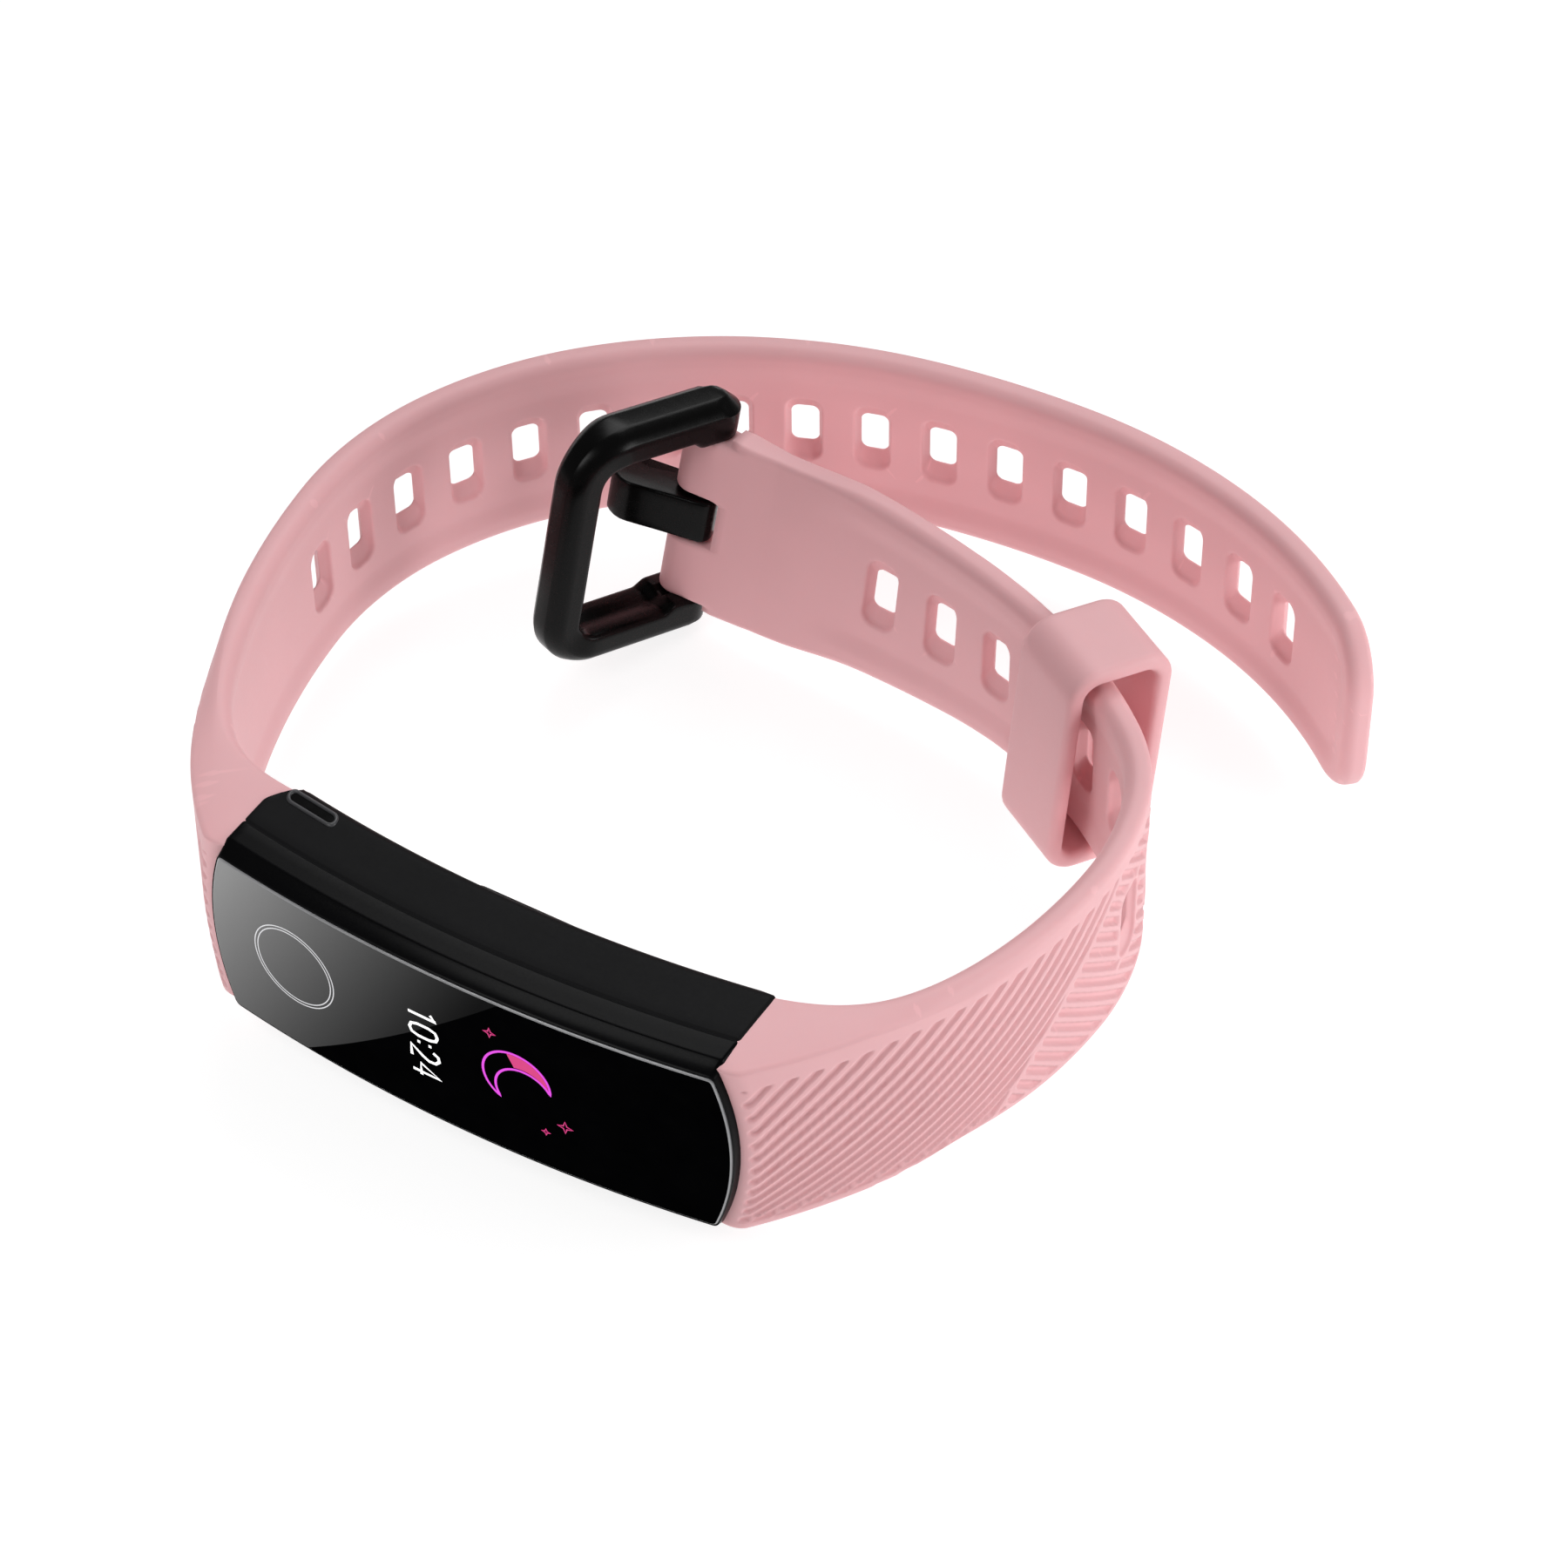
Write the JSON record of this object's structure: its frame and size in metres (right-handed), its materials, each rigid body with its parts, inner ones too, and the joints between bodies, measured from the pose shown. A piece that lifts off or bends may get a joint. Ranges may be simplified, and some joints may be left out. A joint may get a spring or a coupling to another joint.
{
  "type": "fitness tracker band",
  "caption": "Wrist activity band: a slim bowed display capsule with two perforated silicone straps, a loose keeper loop and a pin buckle, standing open on its side.",
  "frame": {"origin": "middle of the footprint of the open band, at the level of its lowest point", "axes": "+X along the capsule from the long strap's end to the short strap's end, +Y from the display into the loop, +Z across the strap width, up as the band stands on its side"},
  "size_m": [0.0794, 0.0756, 0.0249],
  "materials": {
    "glass": "polished, near black behind the print",
    "frame_black": "satin gloss",
    "case_grey": "fine matt",
    "silicone_pink": "soft matt silicone",
    "buckle_black": "satin gloss",
    "steel": "drawn wire",
    "gold": "gold plated",
    "pcb": "solder resist",
    "chip": "moulded",
    "tin": "tin plate",
    "foil": "laminated pouch foil",
    "foam": "foam and adhesive",
    "panel": "display laminate",
    "polyimide": "amber film",
    "lead_red": "wire sleeve",
    "led_green": "clear resin over green dies",
    "seal": "sealing rubber",
    "sensor_lens": "tinted window",
    "tungsten": "sintered weight",
    "mid_plastic": "glass-filled"
  },
  "bodies": {
    "band": {"cover_glass": "glass", "glass_gasket": "foam", "touch_film": "panel", "display_panel": "panel", "upper_frame": "frame_black", "case_seal": "seal", "rear_case": "case_grey", "sensor_window": "sensor_lens", "sensor_board": "pcb", "sensor_leds": "led_green", "photodiode": "chip", "charging_contacts": "gold", "inner_frame": "mid_plastic", "main_board": "pcb", "processor_chip": "chip", "memory_chip": "chip", "radio_chip": "chip", "motion_sensor": "chip", "shield_can": "tin", "battery": "foil", "battery_pad": "foam", "battery_leads": "lead_red", "display_flex": "polyimide", "board_screws": "steel", "motor_case": "tin", "strap_pin_long": "steel", "strap_pin_short": "steel", "strap_long": "silicone_pink", "strap_short": "silicone_pink", "buckle_pin": "steel"},
    "keeper": {"keeper_loop": "silicone_pink"},
    "buckle_frame_body": {"buckle_frame": "buckle_black"},
    "buckle_tang_body": {"buckle_tang": "buckle_black"},
    "motor_rotor": {"motor_shaft": "steel", "motor_weight": "tungsten"}
  },
  "joints": [
    {"name": "frame_pivot", "type": "hinge", "parent": "band", "child": "buckle_frame_body", "pos_m": [-0.0171, 0.01983, 0.01112], "axis": [0.0732, 0.205, 0.976], "range_deg": [-57, 36]},
    {"name": "tang_pivot", "type": "hinge", "parent": "band", "child": "buckle_tang_body", "pos_m": [-0.0171, 0.01983, 0.01112], "axis": [0.0732, 0.205, 0.976], "range_deg": [-70, 60]},
    {"name": "keeper_slide", "type": "hinge", "parent": "band", "child": "keeper", "pos_m": [0.00077, -0.02141, 0.01112], "axis": [0, 0, 1], "range_deg": [-5.6, 14]},
    {"name": "motor_spin", "type": "hinge", "parent": "band", "child": "motor_rotor", "pos_m": [-0.01682, -0.03067, 0.01112], "axis": [0, 0, 1], "continuous": true}
  ]
}
